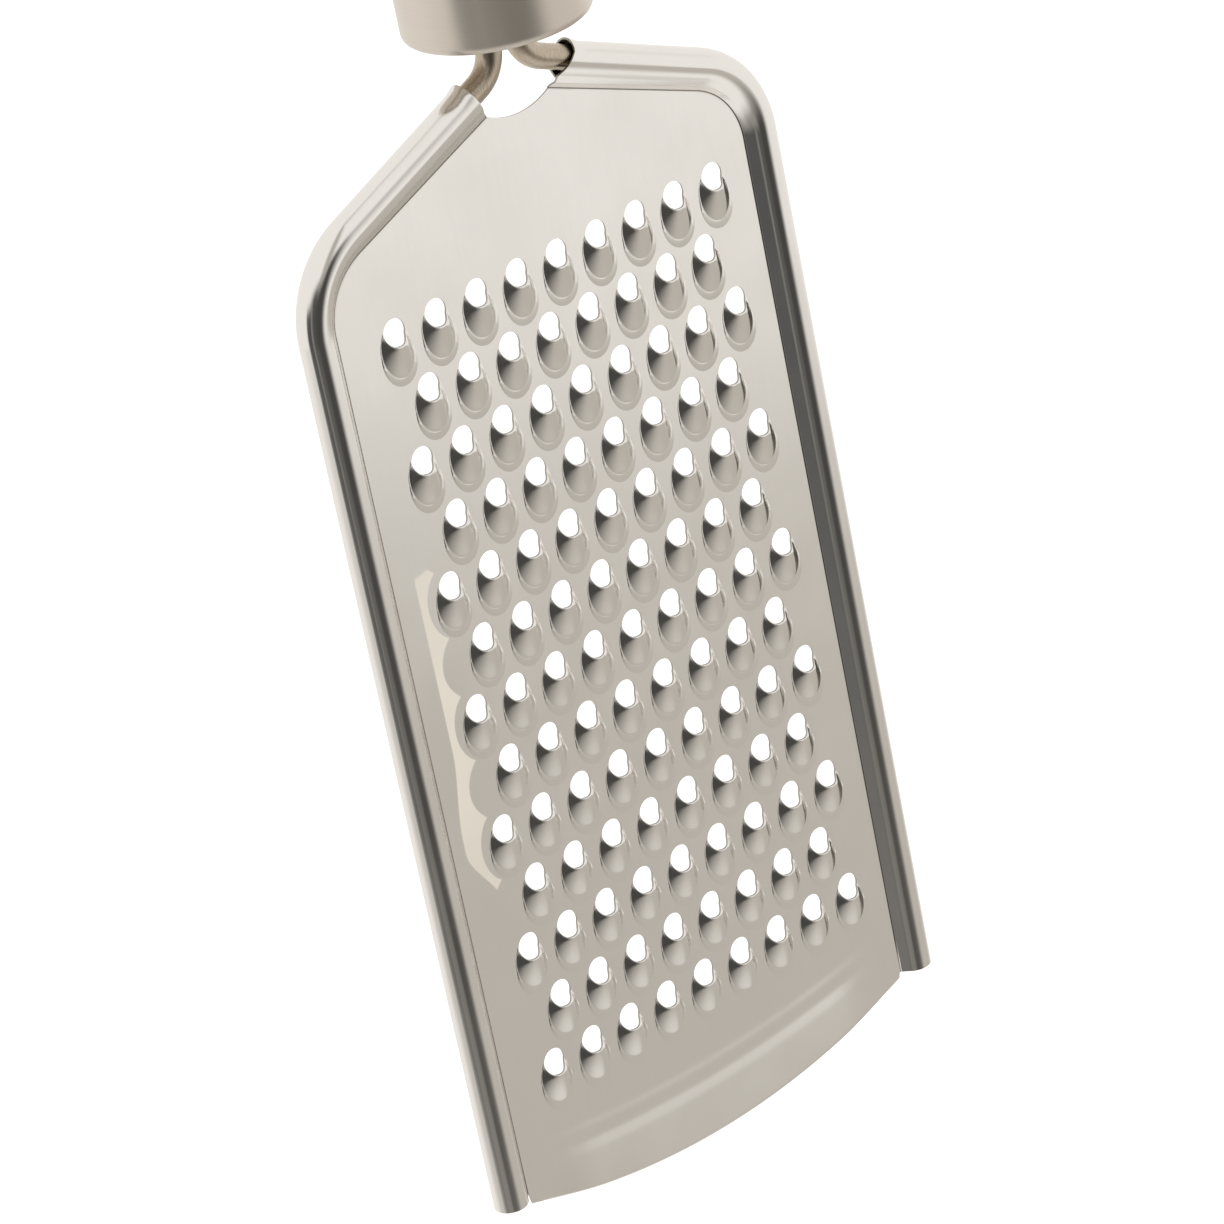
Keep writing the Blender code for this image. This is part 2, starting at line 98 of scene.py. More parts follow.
# Bare stainless steel. grainSize is the size of the fine lines that rolling, drawing or turning
# leaves; they stand grainDepth high and tint the metal by streaks. The roughness drifts by cloud,
# waviness is how far the sheet is uneven, and turned draws the highlights out round the Z axis.
def stainless(name, colour, roughness, cloud, grainSize, grainDepth, streaks=0.14, waviness=0.0, turned=0.0):
    material = newMaterial(name)
    tree = material.node_tree
    place = node(tree, "ShaderNodeTexCoord").outputs["Object"]
    patterns = {}     # size in millimetres, detail and roughness of each noise
    for what, size, detail, rough in (("lines", grainSize, 4.0, 0.6),
                                      ("clouds", (14.0, 14.0, 14.0), 3.0, 0.5),
                                      ("waves", (26.0, 26.0, 40.0), 1.0, 0.5))[:3 if waviness else 2]:
        scaled = node(tree, "ShaderNodeMapping", {"Vector": place, "Scale": tuple(1 / mm / s for s in size)})
        noise = node(tree, "ShaderNodeTexNoise", {"Vector": scaled.outputs[0], "Scale": 1.0,
                                                  "Detail": detail, "Roughness": rough})
        patterns[what] = noise.outputs["Fac"]
    polish = node(tree, "ShaderNodeMapRange", {"Value": patterns["clouds"], "From Min": 0.3, "From Max": 0.7,
                                               "To Min": roughness - cloud, "To Max": roughness + cloud})
    tint = node(tree, "ShaderNodeMapRange", {"Value": patterns["lines"], "From Min": 0.25, "From Max": 0.75,
                                             "To Min": 0.0, "To Max": 1.0})
    light = linear(colour)
    dark = tuple(c * (1 - streaks) for c in light[:3]) + (1.0,)
    tinted = node(tree, "ShaderNodeMix", {"data_type": "RGBA", "Factor": tint.outputs[0], 6: dark, 7: light})
    bump = node(tree, "ShaderNodeBump", {"Strength": 1.0, "Distance": grainDepth * mm,
                                         "Height": patterns["lines"]})
    if waviness:
        bump = node(tree, "ShaderNodeBump", {"Strength": 1.0, "Distance": waviness * mm,
                                             "Height": patterns["waves"], "Normal": bump.outputs[0]})
    shader = node(tree, "ShaderNodeBsdfPrincipled",
                  {"Metallic": 1.0, "Base Color": tinted.outputs[2], "Roughness": polish.outputs[0],
                   "Normal": bump.outputs[0], "Anisotropic": turned, "Anisotropic Rotation": 0.25})
    if turned:
        around = node(tree, "ShaderNodeTangent", {"direction_type": "RADIAL", "axis": "Z"})
        tree.links.new(around.outputs[0], shader.inputs["Tangent"])
    node(tree, "ShaderNodeOutputMaterial", {"Surface": shader.outputs[0]})
    return material


# Grain on real stainless is 0.01 to 0.1 mm wide. Where it shows at all, it is drawn coarser, 0.1 to
# 0.5 mm, or it would be lost between the render's pixels.

# cold-rolled sheet, bright polished: mirrors the room softly, with no grain that the eye can follow
polishedSheet = stainless("polishedSheet", "#e9e5df", roughness=0.15, cloud=0.03,
                          grainSize=(0.5, 0.5, 8.0), grainDepth=0.0003, streaks=0.02, waviness=0.08)
# sheared edge of that sheet: matt and grey, a thin line round the notch and the holes
cutEdge = stainless("cutEdge", "#aeaaa2", roughness=0.35, cloud=0.05,
                    grainSize=(0.3, 0.3, 0.3), grainDepth=0.01)
# the sharp fold at the ramp's foot: a fine darker line, the crease's shade painted into its colour
creaseShade = stainless("creaseShade", "#8f8b84", roughness=0.3, cloud=0.03,
                        grainSize=(0.5, 0.5, 8.0), grainDepth=0.003)
# drawn wire: brownish, with lengthwise die lines
drawnWire = stainless("drawnWire", "#c8baa6", roughness=0.25, cloud=0.05,
                      grainSize=(0.16, 0.16, 14.0), grainDepth=0.03, streaks=0.3)
# tube and cap, ground round their axis: satin, with highlights drawn out across the grinding lines
satinTube = stainless("satinTube", "#d9d0c4", roughness=0.36, cloud=0.03,
                      grainSize=(9.0, 9.0, 0.12), grainDepth=0.003, streaks=0.06, turned=0.8)
# small turned fittings: brighter than the tube, with faint rings from the lathe
turnedFitting = stainless("turnedFitting", "#dcd6cc", roughness=0.24, cloud=0.04,
                          grainSize=(2.0, 2.0, 0.2), grainDepth=0.006)
print("materials made")

sheet = {"thick": 0.3, "tipRadius": 120.0, "notchZ": 164.5, "notchRadius": 11.5, "edgeBevel": 0.05}

# x: the rail's axis; the sheet climbs the ramp into the roll, which ends behind it in a straight
# tail. The spreads are how far the crease has drawn away from the roll. Left is -1, right 1.
rim = {"x": 41.5, "rollRadius": 2.6, "fillet": 0.4, "ramp": 54.0, "tail": 1.2, "flatStrip": 0.3,
       "footZ": {-1: 7.9, 1: 7.0}, "cornerRadius": 14.0, "cornerZ": 155.55, "slope": 22.8,
       "cornerSpread": 0.45, "neckSpread": 1.0}

# where the ramp ends beside the notch, how much further back the roll is cut, and its opened end
neck = {"x": {-1: 8.0, 1: 7.6}, "cut": {-1: 0.4, 1: 1.8}, "rise": 80.0, "freeEdge": 0.6,
        "flare": 0.35, "flareLength": 2.0}

# mesh steps along and round the rims, half round the notch, and over the groove and margin
steps = {"rail": 24, "corner": 20, "neck": 16, "fillet": 6, "ramp": 4, "roll": 40, "tail": 3,
         "notch": 16, "marginAlong": 68, "marginDown": 34}

turn = radians(90.0 - rim["slope"])
ramp = radians(rim["ramp"])
front = sheet["thick"] / 2
cornerCentre = Vector((rim["x"] - rim["cornerRadius"], rim["cornerZ"] - rim["cornerRadius"] * tan(turn / 2)))
shoulderOut = Vector((cos(turn), sin(turn)))
shoulderAlong = Vector((-sin(turn), cos(turn)))
cornerEndX = cornerCentre.x + rim["cornerRadius"] * shoulderOut.x
rampFoot = rim["rollRadius"] * sin(ramp) + (rim["rollRadius"] * cos(ramp) - front) / tan(ramp)
creaseIn = rampFoot + rim["fillet"] * tan(ramp / 2)
rollStart = pi / 2 + ramp
notchCentre = Vector((0.0, sheet["notchZ"] + sheet["notchRadius"]))


# (point, outward, spread) along the roll's axis from its foot to the corner's end, right half
def railPath(footZ, railSteps, cornerSteps):
    stations = []
    for i in range(railSteps):
        z = footZ + (cornerCentre.y - footZ) * i / railSteps
        stations.append((Vector((rim["x"], z)), Vector((1.0, 0.0)), 0.0))
    for i in range(cornerSteps + 1):
        t = i / cornerSteps
        out = Vector((cos(turn * t), sin(turn * t)))
        stations.append((cornerCentre + rim["cornerRadius"] * out, out, rim["cornerSpread"] * t))
    return stations


def shoulderPoint(x):
    start = cornerCentre + rim["cornerRadius"] * shoulderOut
    return start + shoulderAlong * ((start.x - x) / -shoulderAlong.x)


def shoulderSpread(x):
    t = (cornerEndX - x) / (cornerEndX - neck["x"][1])
    return rim["cornerSpread"] + (rim["neckSpread"] - rim["cornerSpread"]) * t


def creasePoint(x):
    return shoulderPoint(x) - shoulderOut * (creaseIn + shoulderSpread(x))


def tipZ(x):
    return sheet["tipRadius"] - sqrt(sheet["tipRadius"] ** 2 - x ** 2)


# (outward, toward the viewer, angle) of the rim's section, from the flat sheet up the ramp, round
# the roll and along the tail; only places on the roll and the tail have an angle
def rimSection():
    section = [(-creaseIn - rim["flatStrip"], front, None)]
    for i in range(steps["fillet"] + 1):
        a = ramp * i / steps["fillet"]
        section.append((-creaseIn + rim["fillet"] * sin(a), front + rim["fillet"] * (1 - cos(a)), None))
    low = section[-1]
    high = (rim["rollRadius"] * cos(rollStart), rim["rollRadius"] * sin(rollStart))
    for i in range(1, steps["ramp"]):
        t = i / steps["ramp"]
        section.append((low[0] + (high[0] - low[0]) * t, low[1] + (high[1] - low[1]) * t, None))
    for i in range(steps["roll"] + 1):
        a = rollStart * (1 - 2 * i / steps["roll"])
        section.append((rim["rollRadius"] * cos(a), rim["rollRadius"] * sin(a), a))
    o, n, a = section[-1]
    for i in range(1, steps["tail"] + 1):
        reach = rim["tail"] * i / steps["tail"]
        section.append((o - reach * cos(ramp), n + reach * sin(ramp), a))
    return section


def spreadShare(angle):     # how much of the crease's spread one place round the section follows
    return 1.0 if angle is None else max(0.0, 2 * angle / pi - 1) ** 2


def notchX():     # where along the shoulder the crease meets the notch's arc
    start, end = creasePoint(cornerCentre.x), creasePoint(0.0)
    along = (end - start).normalized()
    toStart = start - notchCentre
    m = toStart.dot(along)
    c = toStart.length_squared - sheet["notchRadius"] ** 2
    return cornerCentre.x * (1 - (-m - sqrt(m * m - c)) / (end - start).length)


cutX = notchX()


# a place of the section on the shoulder, t from 0 at the corner's end to 1 at the roll's cut end
def neckPoint(side, place, t):
    outward, _, angle = place
    if angle is None:
        s = (outward + creaseIn) / (creaseIn - rim["rollRadius"] * sin(ramp))
        endX = cutX + (neck["x"][side] - cutX) * s
    else:
        share = min(1.0, (rollStart - abs(angle)) / radians(neck["rise"]))
        endX = neck["x"][side] + neck["cut"][side] * (max(neck["freeEdge"], share) if angle < 0 else share)
    x = cornerEndX + (endX - cornerEndX) * t
    if angle is not None:
        outward += neck["flare"] * max(0.0, cos(angle)) * smooth(neck["flareLength"], 0.0, x - endX)
    return shoulderPoint(x) + shoulderOut * (outward - shoulderSpread(x) * spreadShare(angle))


# Each tooth is a round hole whose lower side is pressed forward into a lip, with a leaning oval
# swelling under it. Its foot is a narrow crease (sink) and a faint skirt that fades into the sheet.
# footBlend, where crease and skirt set in below the hole's sides, is in radians.
teeth = {"rows": 13, "wideRow": 9, "pitchX": 7.5, "pitchZ": 9.75, "topZ": 142.7, "shift": 1.1,
         "holeRadius": 1.88, "holeRight": 0.2, "holeUp": 0.17, "holeDrop": 2.05, "collar": 0.12,
         "height": 1.0, "ridge": 0.5, "lean": 0.07, "riseFrom": 0.3, "lipInside": 0.08, "fallPower": 1.3,
         "halfWidth": 2.68, "halfLength": 3.95, "centreDown": 2.9, "footFrom": {-1: 48.0, 1: 30.0},
         "skirt": 0.07, "sink": 0.035, "creaseWidth": (0.04, 0.12), "skirtWidth": (0.08, 0.1, 1.0),
         "footBlend": 0.5, "around": 48, "rings": 14}


def toothCentres():
    for row in range(teeth["rows"]):
        count = teeth["wideRow"] - row % 2
        for column in range(count):
            x = teeth["shift"] + (column - (count - 1) / 2) * teeth["pitchX"]
            yield x, teeth["topZ"] - row * teeth["pitchZ"]


# height of the swelling at a place measured from the row line: its ridge rises to the lip and runs
# out downward, rounded across
def swellHeight(dx, dz):
    dx += teeth["lean"] * (dz + teeth["centreDown"])
    e = 1.0 - ((dz + teeth["centreDown"]) / teeth["halfLength"]) ** 2
    if e <= 0:
        return 0.0
    fromRidge = dx - teeth["ridge"]
    side = fromRidge / (teeth["halfWidth"] * sqrt(e) - copysign(teeth["ridge"], fromRidge))
    across = 1.0 - side * side
    if across <= 0:
        return 0.0
    lip = teeth["holeDrop"] - teeth["holeUp"] - teeth["lipInside"]
    end = teeth["centreDown"] + teeth["halfLength"]
    rise = min(1.0, max(0.0, (teeth["riseFrom"] - dz) / (teeth["riseFrom"] + lip)))
    fall = 1.0 - (max(0.0, -dz - lip) / (end - lip)) ** teeth["fallPower"]
    return teeth["height"] * rise * fall * across


# rings of (place, height) from the hole's edge out to the swelling's foot, the crease and the skirt
def toothRings(x, z):
    hole, foot, crease, skirt, low = [], [], [], [], []
    for k in range(teeth["around"]):
        a = pi / 2 - 2 * pi * k / teeth["around"]
        c, s = cos(a), sin(a)
        drop = teeth["holeRadius"] if s >= 0 else teeth["holeDrop"]
        hole.append(Vector((teeth["holeRight"] + teeth["holeRadius"] * c, teeth["holeUp"] + drop * s)))
        if s > -0.01:     # the hole's upper half, flush with the sheet
            outward = Vector((c, s))
            foot.append(hole[-1] + outward * teeth["collar"])
            low.append(0.0)
        else:
            down = atan2(-s, abs(c))
            start = radians(teeth["footFrom"][1 if c >= 0 else -1])
            b = start - (start + pi / 2) * down / (pi / 2)
            outward = Vector((cos(b) * (1 if c >= 0 else -1), sin(b)))
            fromCentre = teeth["halfLength"] * outward.y
            foot.append(Vector((teeth["halfWidth"] * outward.x - teeth["lean"] * fromCentre,
                                -teeth["centreDown"] + fromCentre)))
            low.append(smooth(0.0, teeth["footBlend"], down))
        narrow, wider = teeth["creaseWidth"]
        crease.append(foot[-1] + outward * (narrow + wider * low[-1]))
        narrow, wider, below = teeth["skirtWidth"]
        skirt.append(foot[-1] + outward * (narrow + (wider + below * max(0.0, -outward.y)) * low[-1]))
    centre = Vector((x, z))
    for j in range(teeth["rings"] + 1):
        t = j / teeth["rings"]
        rise = (teeth["skirt"] - teeth["sink"]) * t * t
        yield [(centre + p.lerp(q, t), swellHeight(*p.lerp(q, t)) + rise * k)
               for p, q, k in zip(hole, foot, low)]
    yield [(centre + p, teeth["skirt"] * k) for p, k in zip(crease, low)]
    yield [(centre + p, 0.0) for p in skirt]


# The groove over the blade's tip, an arc of this radius. Each slope is (from, to, lean): between two
# heights from the groove's middle the sheet leans forward by so many degrees.
groove = {"z": 9.2, "radius": 200.0, "end": 36.0, "taper": 12.0, "top": 3.7, "soften": 0.15,
          "slopes": [(3.1, 1.7, 2.8), (0.0, -2.1, 3.8), (-2.1, -12.0, 2.8)]}


def grooveZ(x):
    return groove["z"] + groove["radius"] - sqrt(groove["radius"] ** 2 - x ** 2)


def marginDepth(w):     # y of the sheet at height w from the groove's middle, negative toward the viewer
    return -sum(max(0.0, start - max(end, w)) * tan(radians(lean)) for start, end, lean in groove["slopes"])


def marginColumns(along, down):     # columns of (place, y) from the blade's lower edge up past the groove
    columns = []
    for i in range(along + 1):
        x = groove["end"] * (2 * i / along - 1)
        low, high = tipZ(x), grooveZ(x) + groove["top"]
        share = smooth(groove["end"], groove["end"] - groove["taper"], abs(x))
        column = []
        for j in range(down + 1):
            z = low + (high - low) * j / down
            depths = [marginDepth(z - grooveZ(x) + k * groove["soften"]) for k in (-2, -1, 0, 1, 2)]
            column.append((Vector((x, z)), sum(depths) / len(depths) * share))
        columns.append(column)
    return columns


# Left of the teeth the sheet leans back a little, so it mirrors a brighter place, and a warm tint is
# painted into its colour there as a painted reflection: a strip with a straight left side that shifts
# at two heights, scalloped on its right by the calm ring round each outer tooth. A pair is where a fade
# starts and ends; a ring is (x, row, how far below the row's line, half width, half height) and comes
# again at every second row.
leanAndPaintedReflection = {"left": -34.4, "leftShifts": (((80.0, 66.0), -1.6), ((64.0, 54.0), 4.4)),
              "leftFade": (-0.15, 0.15), "right": (-28.2, -29.2), "foot": (54.0, 57.0),
              "top": (114.4, 113.2), "topSlope": -0.2, "ringFade": (0.95, 1.05),
              "rings": ((-28.9, 0, 2.2, 4.3, 5.8), (-25.15, 1, 2.35, 7.9, 6.7)),
              "lean": 0.06, "colour": "#e3dccf"}


def addLeanAndPaintedReflection(material):
    tree = material.node_tree
    shader = next(n for n in tree.nodes if n.type == "BSDF_PRINCIPLED")
    place = node(tree, "ShaderNodeMapping",
                 {"Vector": node(tree, "ShaderNodeTexCoord").outputs["Object"], "Scale": (1 / mm,) * 3,
                  "Location": (handleAxisX, 0.0, -bladeFoot / mm)})
    x, _, z = node(tree, "ShaderNodeSeparateXYZ", {0: place.outputs[0]}).outputs
    left = leanAndPaintedReflection["left"]
    for (start, end), shift in leanAndPaintedReflection["leftShifts"]:
        shifted = node(tree, "ShaderNodeMapRange", {"interpolation_type": "SMOOTHSTEP", "Value": z,
                                                    "From Min": start, "From Max": end, "To Max": shift})
        left = node(tree, "ShaderNodeMath", {"operation": "ADD", 0: left, 1: shifted.outputs[0]}).outputs[0]
    fromLeft = node(tree, "ShaderNodeMath", {"operation": "SUBTRACT", 0: x, 1: left})
    slanted = node(tree, "ShaderNodeMath", {"operation": "MULTIPLY_ADD", 0: x,
                                            1: leanAndPaintedReflection["topSlope"], 2: z})
    fades = [(fromLeft.outputs[0], *leanAndPaintedReflection["leftFade"]), (x, *leanAndPaintedReflection["right"]),
             (z, *leanAndPaintedReflection["foot"]), (slanted.outputs[0], *leanAndPaintedReflection["top"])]
    for ringX, row, below, halfWide, halfHigh in leanAndPaintedReflection["rings"]:
        ringZ = teeth["topZ"] - row * teeth["pitchZ"] - below
        nearest = node(tree, "ShaderNodeMath", {"operation": "WRAP", 0: z, 1: ringZ + teeth["pitchZ"],
                                                2: ringZ - teeth["pitchZ"]})
        onSheet = node(tree, "ShaderNodeCombineXYZ", {0: x, 2: nearest.outputs[0]})
        oval = node(tree, "ShaderNodeMapping", {"vector_type": "TEXTURE", "Vector": onSheet.outputs[0],
                                                "Location": (ringX, 0.0, ringZ),
                                                "Scale": (halfWide, 1.0, halfHigh)})
        far = node(tree, "ShaderNodeVectorMath", {"operation": "DOT_PRODUCT", 0: oval.outputs[0],
                                                  1: oval.outputs[0]})
        fades.append((far.outputs["Value"], *leanAndPaintedReflection["ringFade"]))
    mask = fadesMultiplied(tree, fades)
    bumped = shader.inputs["Normal"].links[0].from_socket
    leaned = node(tree, "ShaderNodeVectorMath", {"operation": "MULTIPLY_ADD", 0: mask,
                                                 1: (0.0, 0.0, leanAndPaintedReflection["lean"]), 2: bumped})
    level = node(tree, "ShaderNodeVectorMath", {"operation": "NORMALIZE", 0: leaned.outputs[0]})
    tree.links.new(level.outputs[0], shader.inputs["Normal"])
    # the strip's warm colour is a painted reflection, mixed into the sheet's own colour by the mask
    plain = shader.inputs["Base Color"].links[0].from_socket
    paintedReflectionTint = node(tree, "ShaderNodeMix", {"data_type": "RGBA", "Factor": mask, 6: plain,
                                        7: linear(leanAndPaintedReflection["colour"])})
    tree.links.new(paintedReflectionTint.outputs[2], shader.inputs["Base Color"])


def insideLoop(p, loop):
    inside = False
    for a, b in zip(loop, loop[1:] + loop[:1]):
        if (a.y > p.y) != (b.y > p.y) and p.x < a.x + (b.x - a.x) * (p.y - a.y) / (b.y - a.y):
            inside = not inside
    return inside


def rimRows(side, section):     # rows of places from the rail's foot to the roll's cut end
    rows = [[point + out * (o - spread * spreadShare(a)) for o, n, a in section]
            for point, out, spread in railPath(rim["footZ"][side], steps["rail"], steps["corner"])]
    foot = rows[0][0]
    rows[0][0] = Vector((foot.x, tipZ(foot.x)))
    for i in range(1, steps["neck"] + 1):
        t = 1 - (1 - i / steps["neck"]) ** 2
        rows.append([neckPoint(side, place, t) for place in section])
    rows[-1][0] = creasePoint(cutX)
    return rows


def tipArc(a, b):     # two places on the tip's arc between two others
    return [Vector((x, tipZ(x))) for x in (a.x + (b.x - a.x) / 3, a.x + (b.x - a.x) * 2 / 3)]


# The blade is one face of sheet, thickened backward at the end: a flat field with an opening for
# each tooth and for the margin, then the margin, the teeth and the two rims joined to its borders.
def makeBlade():
    section = rimSection()
    sides = {side: rimRows(side, section) for side in (1, -1)}
    right = [row[0] for row in sides[1]]
    left = [Vector((-row[0].x, row[0].y)) for row in sides[-1]]
    end = right[-1] - notchCentre
    reach = atan2(end.x, -end.y)
    angles = [reach * (1 - i / steps["notch"]) for i in range(1, 2 * steps["notch"])]
    notch = [notchCentre + sheet["notchRadius"] * Vector((sin(a), -cos(a))) for a in angles]
    columns = marginColumns(steps["marginAlong"], steps["marginDown"])
    tip = [column[0][0] for column in columns]
    tip = tipArc(left[0], tip[0]) + tip + tipArc(tip[-1], right[0])
    border = right + notch + left[::-1] + tip

    flat, edges = [], []

    def addLoop(points):
        ids = list(range(len(flat), len(flat) + len(points)))
        flat.extend(points)
        edges.extend(zip(ids, ids[1:] + ids[:1]))
        return ids

    addLoop(border)
    lastColumn, lastRow = len(columns) - 1, len(columns[0]) - 1
    marginSpots = ([(i, 0) for i in range(lastColumn + 1)] + [(lastColumn, j) for j in range(1, lastRow + 1)]
                   + [(i, lastRow) for i in range(lastColumn - 1, -1, -1)]
                   + [(0, j) for j in range(lastRow - 1, 0, -1)])
    marginLoop = [columns[i][j][0] for i, j in marginSpots]
    marginIds = addLoop(marginLoop)
    feet = []
    for x, z in toothCentres():
        *_, foot = toothRings(x, z)
        feet.append(addLoop([p for p, h in foot]))
    toothOf = {i: n for n, ids in enumerate(feet) for i in ids}

    coords, _, faces, origin, _, _ = delaunay_2d_cdt(flat, edges, [], 0, 1e-6)
    bm = bmesh.new()
    verts = [None] * len(flat)
    for p, sources in zip(coords, origin):
        vert = bm.verts.new(toWorld(p.x, -front, p.y))
        for i in sources:
            verts[i] = vert
    source = [s[0] for s in origin]
    plainFaces = []
    for face in faces:
        owners = {toothOf.get(source[i]) for i in face}
        if len(owners) == 1 and None not in owners:     # inside one tooth's foot
            continue
        middle = sum((coords[i] for i in face), Vector((0.0, 0.0))) / 3
        if insideLoop(middle, border) and not insideLoop(middle, marginLoop):
            plainFaces.append(bm.faces.new([verts[source[i]] for i in face]))

    # groove and margin
    known = {spot: verts[i] for spot, i in zip(marginSpots, marginIds)}
    for i, column in enumerate(columns):
        for j, (p, y) in enumerate(column):
            vert = known.get((i, j)) or bm.verts.new(toWorld(p.x, -front, p.y))
            vert.co = toWorld(p.x, y - front, p.y)
            known[i, j] = vert
    for i in range(lastColumn):
        for j in range(lastRow):
            bm.faces.new((known[i, j], known[i + 1, j], known[i + 1, j + 1], known[i, j + 1]))

    # teeth
    for ids, (x, z) in zip(feet, toothCentres()):
        rings = list(toothRings(x, z))
        loops = [[bm.verts.new(toWorld(p.x, -(front + h), p.y)) for p, h in ring] for ring in rings[:-1]]
        loops.append([verts[i] for i in ids])
        for a, b in zip(loops, loops[1:]):
            for k in range(len(ids)):
                m = (k + 1) % len(ids)
                bm.faces.new((a[k], a[m], b[m], b[k]))

    # rolled rims
    for side, rows in sides.items():
        built = []
        for i, row in enumerate(rows):
            first = i if side == 1 else len(right) + len(notch) + len(left) - 1 - i
            line = [verts[first]]
            for p, (o, n, a) in zip(row[1:], section[1:]):
                line.append(bm.verts.new(toWorld(side * p.x, -n, p.y)))
            built.append(line)
        for a, b in zip(built, built[1:]):
            for j in range(len(section) - 1):
                strip = bm.faces.new((a[j], a[j + 1], b[j + 1], b[j]))
                # the fillet's middle faces take creaseShade, painted shade along the fold
                strip.material_index = 2 if 2 <= j <= 4 else 0     # the middle of the fillet

    bmesh.ops.recalc_face_normals(bm, faces=bm.faces)
    bm.normal_update()
    if sum(f.normal.y * f.calc_area() for f in bm.faces if abs(f.normal.y) > 0.99) > 0:
        bmesh.ops.reverse_faces(bm, faces=bm.faces)
    for face in bm.faces:
        face.smooth = True
    for face in plainFaces:
        face.smooth = False
    mesh = bpy.data.meshes.new("bladeSheet")
    bm.to_mesh(mesh)
    bm.free()
    for material in (polishedSheet, cutEdge, creaseShade):
        mesh.materials.append(material)
    blade = bpy.data.objects.new("bladeSheet", mesh)
    bpy.context.scene.collection.objects.link(blade)
    solid = blade.modifiers.new("thickness", "SOLIDIFY")
    solid.thickness = sheet["thick"] * mm
    solid.offset = -1.0
    solid.use_even_offset = True
    solid.material_offset_rim = 1     # cutEdge
    bevel = blade.modifiers.new("edges", "BEVEL")
    bevel.width = sheet["edgeBevel"] * mm
    bevel.segments = 1
    bevel.limit_method = "ANGLE"
    bevel.angle_limit = radians(60)
    bevel.harden_normals = False
    smoothing = blade.modifiers.new("sharp", "WEIGHTED_NORMAL")
    smoothing.keep_sharp = True
    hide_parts("grater_plate")
    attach(blade, "grater")


# Each rod runs in its roll, turns at the corner and again at the neck, and goes up into the handle.
rods = {"radius": 1.88, "neckRadius": 5.3, "pairX": 2.55, "lift": 0.2, "footZ": 8.2, "endZ": 192.6,
        "railSteps": 3, "cornerSteps": 28, "neckSteps": 16}


def makeRod(side):
    points = [p for p, _, _ in railPath(rods["footZ"], rods["railSteps"], rods["cornerSteps"])]
    pairX = rods["pairX"] + side * handleAxisX
    bendX = pairX + rods["neckRadius"]
    bendZ = shoulderPoint(pairX).y + rods["lift"] + rods["neckRadius"] * tan(turn / 2)
    for i in range(rods["neckSteps"] + 1):
        a = turn * (1 - i / rods["neckSteps"])
        points.append(Vector((bendX - rods["neckRadius"] * cos(a), bendZ - rods["neckRadius"] * sin(a))))
    points.append(Vector((pairX, rods["endZ"])))
    name = "rimRodRight" if side == 1 else "rimRodLeft"
    curve = bpy.data.curves.new(name, "CURVE")
    curve.dimensions = "3D"
    curve.bevel_depth = rods["radius"] * mm
    curve.bevel_resolution = 10
    curve.use_fill_caps = True
    line = curve.splines.new("POLY")
    line.points.add(len(points) - 1)
    for slot, p in zip(line.points, points):
        slot.co = (*toWorld(side * p.x, 0.0, p.y), 1.0)
    line.use_smooth = True
    curve.materials.append(drawnWire)
    rod = bpy.data.objects.new(name, curve)
    bpy.context.scene.collection.objects.link(rod)
    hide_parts("right_rim_rod" if side == 1 else "left_rim_rod")
    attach(rod, "grater")


addLeanAndPaintedReflection(polishedSheet)
makeBlade()
for side in (-1, 1):
    makeRod(side)
print("blade and rods made")

# the tube is closed in front but for two holes, which leave the rods a little room
handle = {"z": 178.1, "length": 90.0, "radius": 13.6, "wall": 0.9, "edge": 1.3, "insideEdge": 0.4,
          "edgeSteps": 10, "holeRoom": 0.14, "drillLength": 5.0, "around": 96}

# the cap's rounded edge has edgeShare of the wall as its radius, and its skirt goes into the tube
cap = {"gap": 0.3, "skirtRoom": 0.3, "skirt": 7.0, "bore": 2.05, "edgeShare": 0.9, "edgeSteps": 8}


def quarter(radius, height, edge, count):     # quarter circle from the wall's top inward
    for i in range(count + 1):
        a = pi / 2 * i / count
        yield radius - edge + edge * cos(a), height - edge + edge * sin(a)


# closed (radius, height) outline turned about the handle's axis; holes are (x, radius) of its bores
def makeTurned(name, outline, z, material, replaced, holes=()):
    bm = bmesh.new()
    around = handle["around"]
    loops = []
    for r, h in outline:
        if r == 0.0:
            loops.append([bm.verts.new(toWorld(handleAxisX, 0.0, z + h))] * around)
        else:
            angles = [2 * pi * k / around for k in range(around)]
            loops.append([bm.verts.new(toWorld(handleAxisX + r * cos(a), r * sin(a), z + h))
                          for a in angles])
    for a, b in zip(loops, loops[1:] + loops[:1]):
        for k in range(around):
            m = (k + 1) % around
            unique = list(dict.fromkeys((a[k], a[m], b[m], b[k])))
            if len(unique) > 2:
                bm.faces.new(unique)
    bmesh.ops.recalc_face_normals(bm, faces=bm.faces)
    mesh = bpy.data.meshes.new(name)
    bm.to_mesh(mesh)
    bm.free()
    mesh.shade_smooth()
    mesh.set_sharp_from_angle(angle=radians(40))
    mesh.materials.append(material)
    turned = bpy.data.objects.new(name, mesh)
    bpy.context.scene.collection.objects.link(turned)
    for x, radius in holes:
        bpy.ops.mesh.primitive_cylinder_add(vertices=40, radius=radius * mm, depth=handle["drillLength"] * mm,
                                            location=toWorld(x, 0.0, z))
        drill = bpy.context.object
        cut = turned.modifiers.new("bore", "BOOLEAN")
        cut.operation, cut.solver, cut.object = "DIFFERENCE", "EXACT", drill
        bpy.context.view_layer.objects.active = turned
        bpy.ops.object.modifier_apply(modifier=cut.name)
        bpy.data.objects.remove(drill, do_unlink=True)
    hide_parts(replaced)
    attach(turned, "grater")


